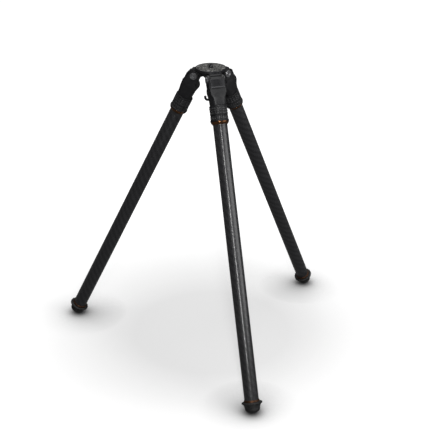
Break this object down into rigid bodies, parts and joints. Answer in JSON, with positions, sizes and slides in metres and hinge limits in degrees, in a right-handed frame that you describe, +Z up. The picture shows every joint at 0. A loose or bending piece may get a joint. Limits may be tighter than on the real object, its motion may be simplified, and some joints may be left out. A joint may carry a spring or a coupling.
{
  "type": "telescoping camera tripod",
  "caption": "Flat-platform photographic tripod with hinged carbon-fibre legs, twist locks near the hub, angle stops, a bare camera stud on top and a weight hook below.",
  "frame": {"origin": "centre of the platform's top face, on the camera stud's axis", "axes": "+Z up along the camera stud; the front leg points along -Y"},
  "size_m": [0.6838, 0.5991, 0.7241],
  "materials": {
    "cast_black": "fine black texture coat",
    "machined_black": "black anodised",
    "grip_grey": "mottled cork-rubber pad",
    "dark_steel": "black oxide",
    "bronze": "sintered bronze",
    "hook_black": "black coated",
    "bolt_grey": "grey anodised, turned face",
    "carbon": "clear-coated carbon fibre twill",
    "grip_rubber": "ribbed rubber over an aluminium sleeve",
    "collet_plastic": "low-friction plastic",
    "copper": "copper-coloured anodising",
    "foot_rubber": "moulded rubber"
  },
  "bodies": {
    "hub": {"hub": "cast_black", "platform": "machined_black", "grip_pad": "grip_grey", "camera_stud": "dark_steel", "platform_screws": "dark_steel", "pivot_bushes": "bronze", "hook_socket": "machined_black"},
    "hook": {"weight_hook": "hook_black"},
    "leg_front": {"yoke_front": "cast_black", "pivot_bolt_front": "bolt_grey", "pivot_nut_front": "bolt_grey", "upper_tube_front": "carbon"},
    "stop_tab_front": {"stop_tab_front": "machined_black"},
    "upper_collar_front": {"upper_collar_front": "grip_rubber"},
    "middle_front": {"middle_tube_front": "carbon", "upper_ferrule_front": "machined_black", "upper_collet_front": "collet_plastic"},
    "lower_collar_front": {"lower_collar_front": "grip_rubber"},
    "lower_front": {"lower_tube_front": "carbon", "lower_ferrule_front": "machined_black", "lower_collet_front": "collet_plastic", "trim_ring_front": "copper", "foot_ring_front": "copper", "foot_front": "foot_rubber"},
    "leg_right": {"yoke_right": "cast_black", "pivot_bolt_right": "bolt_grey", "pivot_nut_right": "bolt_grey", "upper_tube_right": "carbon"},
    "stop_tab_right": {"stop_tab_right": "machined_black"},
    "upper_collar_right": {"upper_collar_right": "grip_rubber"},
    "middle_right": {"middle_tube_right": "carbon", "upper_ferrule_right": "machined_black", "upper_collet_right": "collet_plastic"},
    "lower_collar_right": {"lower_collar_right": "grip_rubber"},
    "lower_right": {"lower_tube_right": "carbon", "lower_ferrule_right": "machined_black", "lower_collet_right": "collet_plastic", "trim_ring_right": "copper", "foot_ring_right": "copper", "foot_right": "foot_rubber"},
    "leg_left": {"yoke_left": "cast_black", "pivot_bolt_left": "bolt_grey", "pivot_nut_left": "bolt_grey", "upper_tube_left": "carbon"},
    "stop_tab_left": {"stop_tab_left": "machined_black"},
    "upper_collar_left": {"upper_collar_left": "grip_rubber"},
    "middle_left": {"middle_tube_left": "carbon", "upper_ferrule_left": "machined_black", "upper_collet_left": "collet_plastic"},
    "lower_collar_left": {"lower_collar_left": "grip_rubber"},
    "lower_left": {"lower_tube_left": "carbon", "lower_ferrule_left": "machined_black", "lower_collet_left": "collet_plastic", "trim_ring_left": "copper", "foot_ring_left": "copper", "foot_left": "foot_rubber"}
  },
  "joints": [
    {"name": "hook_swivel", "type": "hinge", "parent": "hub", "child": "hook", "pos_m": [0, 0, -0.024], "axis": [0, 0, 1], "continuous": true},
    {"name": "spread_front", "type": "hinge", "parent": "hub", "child": "leg_front", "pos_m": [0, -0.037, -0.0195], "axis": [-1, 0, 0], "range_deg": [-26, 54]},
    {"name": "stop_tab_front_slide", "type": "slide", "parent": "leg_front", "child": "stop_tab_front", "axis": [0, -0.4431, -0.8965], "range_m": [-0.0068, 0]},
    {"name": "middle_front_slide", "type": "slide", "parent": "leg_front", "child": "middle_front", "axis": [0, -0.4431, -0.8965], "range_m": [0, 0.56]},
    {"name": "upper_collar_front_twist", "type": "hinge", "parent": "middle_front", "child": "upper_collar_front", "pos_m": [0, -0.037, -0.0195], "axis": [0, -0.4431, -0.8965], "range_deg": [0, 120]},
    {"name": "lower_front_slide", "type": "slide", "parent": "middle_front", "child": "lower_front", "axis": [0, -0.4431, -0.8965], "range_m": [0, 0.56]},
    {"name": "lower_collar_front_twist", "type": "hinge", "parent": "lower_front", "child": "lower_collar_front", "pos_m": [0, -0.037, -0.0195], "axis": [0, -0.4431, -0.8965], "range_deg": [0, 120]},
    {"name": "spread_right", "type": "hinge", "parent": "hub", "child": "leg_right", "pos_m": [0.03204, 0.0185, -0.0195], "axis": [0.5, -0.866, 0], "range_deg": [-26, 54]},
    {"name": "stop_tab_right_slide", "type": "slide", "parent": "leg_right", "child": "stop_tab_right", "axis": [0.3837, 0.2215, -0.8965], "range_m": [-0.0068, 0]},
    {"name": "middle_right_slide", "type": "slide", "parent": "leg_right", "child": "middle_right", "axis": [0.3837, 0.2215, -0.8965], "range_m": [0, 0.56]},
    {"name": "upper_collar_right_twist", "type": "hinge", "parent": "middle_right", "child": "upper_collar_right", "pos_m": [0.03204, 0.0185, -0.0195], "axis": [0.3837, 0.2215, -0.8965], "range_deg": [0, 120]},
    {"name": "lower_right_slide", "type": "slide", "parent": "middle_right", "child": "lower_right", "axis": [0.3837, 0.2215, -0.8965], "range_m": [0, 0.56]},
    {"name": "lower_collar_right_twist", "type": "hinge", "parent": "lower_right", "child": "lower_collar_right", "pos_m": [0.03204, 0.0185, -0.0195], "axis": [0.3837, 0.2215, -0.8965], "range_deg": [0, 120]},
    {"name": "spread_left", "type": "hinge", "parent": "hub", "child": "leg_left", "pos_m": [-0.03204, 0.0185, -0.0195], "axis": [0.5, 0.866, 0], "range_deg": [-26, 54]},
    {"name": "stop_tab_left_slide", "type": "slide", "parent": "leg_left", "child": "stop_tab_left", "axis": [-0.3837, 0.2215, -0.8965], "range_m": [-0.0068, 0]},
    {"name": "middle_left_slide", "type": "slide", "parent": "leg_left", "child": "middle_left", "axis": [-0.3837, 0.2215, -0.8965], "range_m": [0, 0.56]},
    {"name": "upper_collar_left_twist", "type": "hinge", "parent": "middle_left", "child": "upper_collar_left", "pos_m": [-0.03204, 0.0185, -0.0195], "axis": [-0.3837, 0.2215, -0.8965], "range_deg": [0, 120]},
    {"name": "lower_left_slide", "type": "slide", "parent": "middle_left", "child": "lower_left", "axis": [-0.3837, 0.2215, -0.8965], "range_m": [0, 0.56]},
    {"name": "lower_collar_left_twist", "type": "hinge", "parent": "lower_left", "child": "lower_collar_left", "pos_m": [-0.03204, 0.0185, -0.0195], "axis": [-0.3837, 0.2215, -0.8965], "range_deg": [0, 120]}
  ]
}
